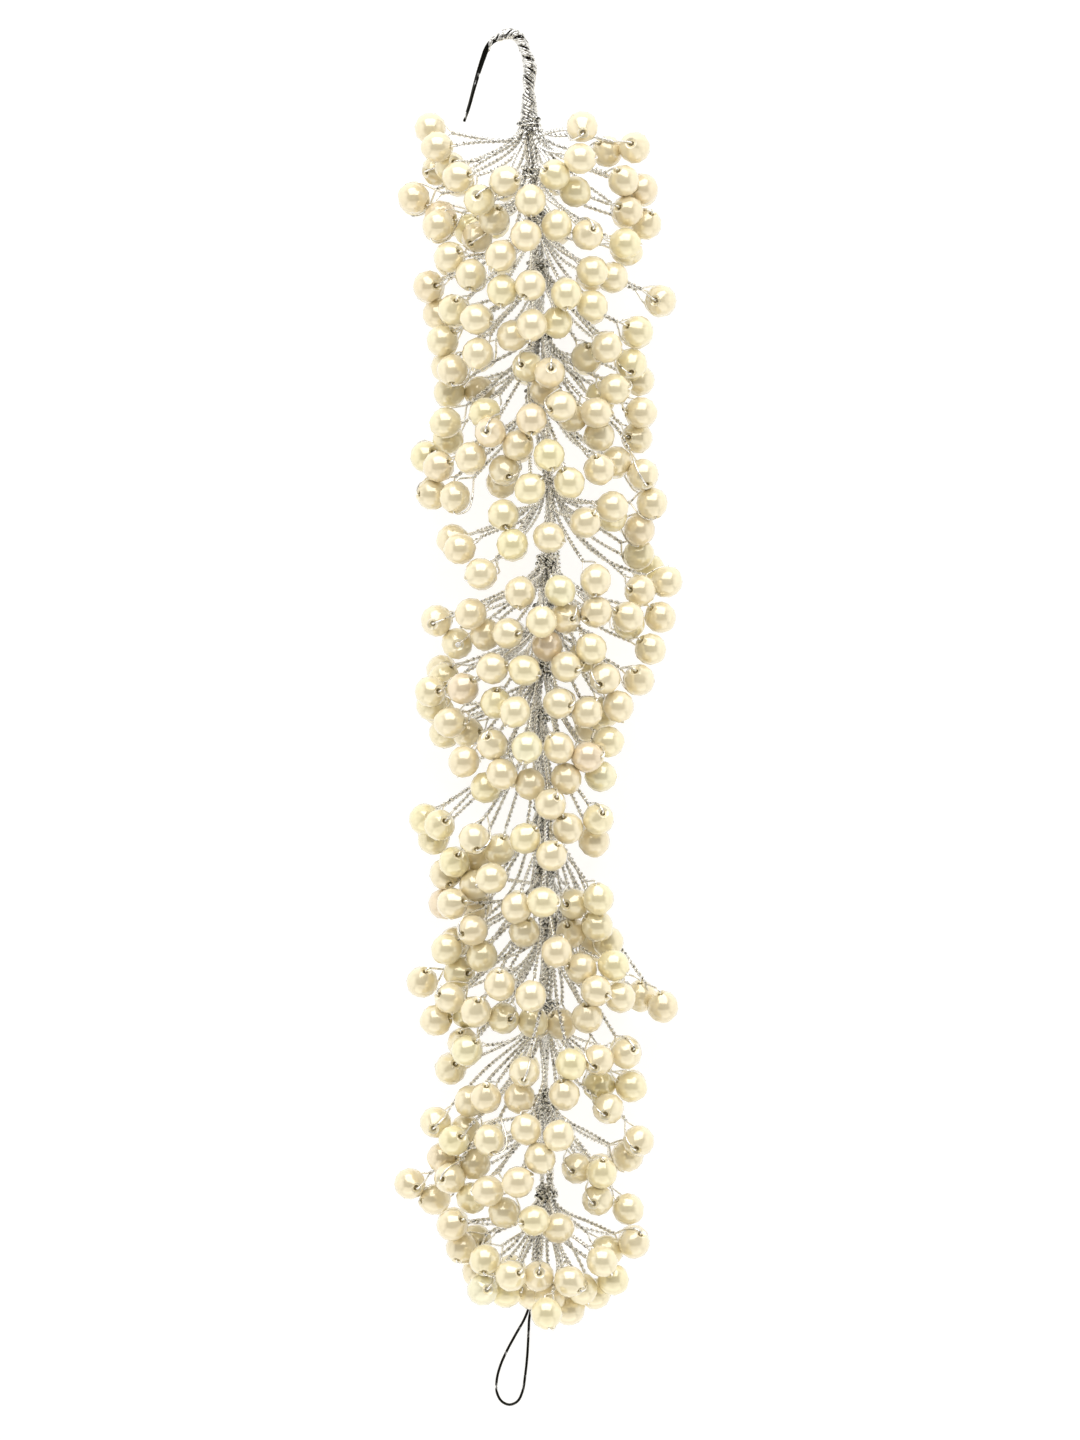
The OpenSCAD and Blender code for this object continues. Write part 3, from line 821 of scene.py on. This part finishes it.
def build_sprigs(ties, profiles, finishes):
    """All pearls and stalks: one piece of pearls and one of wires for each tier."""
    sprigs = []
    for k, tie in enumerate(ties):
        for side in ("left", "right"):
            for sprig in read_sprigs(f"spray_{k + 1:02}_{side}", tie):
                sprigs.append((k, sprig, LOOK.randrange(len(FORKS))))
    lines = []
    for k, sprig, fork in sprigs:
        line = smooth_line(stalk_points(sprig, ties[k], FORKS[fork][0]), STALK_STEP)
        place = np.linspace(0, len(line) - 1, STALK_POINTS)
        lines.append(columns(place, np.arange(len(line)), line))
    lines = eased(np.array(lines), np.array([sprig[-1] for _, sprig, _ in sprigs]))
    bead = pearl_model()
    single = profiles["single"]
    forks = [fork_model(f"fork_{n + 1}", *kind, single) for n, kind in enumerate(FORKS)]
    for k in range(TIERS):
        beads, ends, stalks = [], [], []
        for (tier, sprig, fork), line in zip(sprigs, lines):
            if tier != k:
                continue
            place = turned(sprig[-1], line[-1] - line[-2])
            tilt = Matrix.Rotation(-math.radians(FORKS[fork][2]), 4, "Y")
            beads.append(copied(bead, place @ tilt))
            set_tone(beads[-1])
            ends.append(copied(forks[fork], place))
            stalks.append(evenly(line, PAIR_STEP))
        number = f"{k + 1:02}"
        nodes = (f"spray_{number}_left", f"spray_{number}_right")
        kept(joined(f"pearls_{number}", beads), finishes["pearl"], "pearl", *nodes)
        twisted = wires(f"stalks_{number}", stalks, profiles["pair"], TWIST)
        stalks = joined(f"stalks_{number}", [twisted, *ends])
        kept(stalks, finishes["silver"], "silver_wire", *nodes)
    for model in (bead, *forks):
        bpy.data.objects.remove(model)


def build_stem(ties, line, profiles, finishes):
    """Twisted strands that run the whole way, slowly turning round each other."""
    starts = (tie.start for tie in ties)
    middle = evenly(np.array([ties[0].axis(STEM_START), *starts, line[-1]]), STEM_STEP)
    strands = []
    for n, (radius, pitch) in enumerate(STEM_STRANDS):
        strands.append(evenly(wound(middle, radius, pitch, n * STEM_PHASE), PAIR_STEP))
    for side in (-1, 0, 1):
        last = [
            charted(across + STEM_LAST_APART * side, along, STEM_Z + lift)
            for across, along, lift in STEM_LAST
        ]
        strands.append(evenly(smooth_line(last, LINE_STEP), PAIR_STEP))
    stem = wires("stem_strands", strands, profiles["pair"], TWIST)
    kept(stem, finishes["silver"], "silver_wire", "stem")


def build_windings(ties, profiles, finishes):
    """At each tier a twisted pair is wound round the stalks' ends, and again across itself."""
    for k, tie in enumerate(ties):
        start = LOOK.uniform(*WINDING_START)
        end = LOOK.uniform(*WINDING_END)
        places = [start + (end - start) * n / AXIS_STEPS for n in range(AXIS_STEPS + 1)]
        axis = np.array([tie.axis(place) for place in places])
        lines = []
        for radius, pitch, way in WINDING_LAYERS:
            radius = radius + np.array([LOOK.uniform(-LAYER_ROUGH, LAYER_ROUGH) for _ in axis])
            pitch = pitch * np.array([LOOK.uniform(*LAYER_PITCH) for _ in axis])
            phase = LOOK.uniform(0, 6)
            lines.append(evenly(wound(axis[::way], radius, pitch, phase), PAIR_STEP))
        number = f"{k + 1:02}"
        winding = wires(f"winding_{number}", lines, profiles["pair"], TWIST)
        kept(winding, finishes["knot"], "silver_wire", f"tie_{number}")


def build_hook(profiles, finishes):
    """Two stiff wires side by side, one behind the other near the tip, and strands over them."""
    line = evenly(smooth_line([charted(*point) for point in HOOK], LINE_STEP), HOOK_STEP)
    length = np.linspace(0, 1, len(line))
    apart = read_off(HOOK_APART, length)
    left = beside(line, -apart)
    right = beside(line, apart) + np.outer(read_off(HOOK_SUNK, length), UP)
    right = right[: round(HOOK_SHORTER * len(line))]
    hook = wires("hook_wires", [left, right], profiles["stiff"])
    kept(hook, finishes["bright"], "bright_wire", "hook_wire")
    wrapped = line[: round(WOUND_PART * len(line))]
    place = HOOK_STEP * np.arange(len(wrapped))
    radius = read_off(WOUND_RADIUS, place)
    longer = read_off(WOUND_LONGER, place)
    strands = []
    for n, end in enumerate(WOUND_ENDS):
        part = wrapped[: round(end * len(wrapped))]
        count = len(part)
        varied = np.array([LOOK.uniform(*WOUND_VARIES) for _ in part])
        rough = np.array([LOOK.uniform(-WOUND_ROUGH, WOUND_ROUGH) for _ in part])
        pitch = WOUND_PITCH * longer[:count] * varied
        turn = 2 * math.pi * n / len(WOUND_ENDS)
        strands.append(evenly(wound(part, radius[:count] + rough, pitch, turn), WOUND_STEP))
    winding = wires("hook_winding", strands, profiles["strand"])
    kept(winding, finishes["wound"], "silver_wire", "hook_wrap")


def build_eye(profiles, finishes):
    """One stiff wire, bent to the eye."""
    line = evenly(smooth_line([charted(*point) for point in EYE], LINE_STEP), EYE_STEP)
    eye = wires("eye_wire", [line], profiles["eye"])
    kept(eye, finishes["bright"], "bright_wire", "tail_loop")


def panel(name, azimuth, from_above, distance, size, power, colour):
    """A soft light panel that faces the vine."""
    a, z = math.radians(azimuth), math.radians(from_above)
    light = bpy.data.lights.new(name, "AREA")
    light.shape = "RECTANGLE"
    light.size, light.size_y = size
    light.energy = power
    light.color = colour
    lamp = linked(name, light)
    away = Vector((math.sin(a) * math.sin(z), math.cos(a) * math.sin(z), math.cos(z)))
    lamp.location = away * distance
    lamp.rotation_euler = away.to_track_quat("Z", "Y").to_euler()


def build_studio():
    """A white floor, four soft panels and a room that is pale low down and dim overhead."""
    bpy.ops.object.select_all(action="DESELECT")
    bpy.ops.mesh.primitive_plane_add(size=FLOOR_METRES)
    floor = bpy.context.object
    floor.name = "floor"
    floor.data.materials.append(floor_finish())
    for name, settings in PANELS.items():
        panel(name, *settings)
    world = bpy.data.worlds.new("studio")
    room = Nodes(world)
    way = room.node("ShaderNodeTexCoord", {}, {}, output="Generated")
    height = room.node("ShaderNodeSeparateXYZ", {}, {"Vector": way}, output="Z")
    room.feed(room.nodes["Background"], {"Color": room.ramp(height, ROOM)})
    bpy.context.scene.world = world
    bpy.context.scene.view_settings.view_transform = "Standard"


def build_camera():
    """The camera looks straight down from far above, with the photograph's frame."""
    camera = bpy.data.cameras.new("camera")
    camera.sensor_width = SENSOR
    camera.lens = camera.sensor_width * CAMERA_HEIGHT / FRAME_LONG
    camera.clip_start = 0.1
    camera.clip_end = 10
    stand = linked("camera", camera)
    x, y = CAMERA_AT
    stand.location = (x * MM, y * MM, (CAMERA_HEIGHT + FRAME_LEVEL) * MM)
    bpy.context.scene.camera = stand


def build():
    profiles = {name: section(f"{name}_section", *size) for name, size in SECTIONS.items()}
    finishes = {"pearl": pearl_finish()}
    finishes |= {name: wire_finish(name, *look) for name, look in WIRE_FINISHES.items()}
    ties, stem_line = read_ties()
    build_sprigs(ties, profiles, finishes)
    build_stem(ties, stem_line, profiles, finishes)
    build_windings(ties, profiles, finishes)
    build_hook(profiles, finishes)
    build_eye(profiles, finishes)
    for profile in profiles.values():
        bpy.data.objects.remove(profile)
    build_studio()
    build_camera()


build()
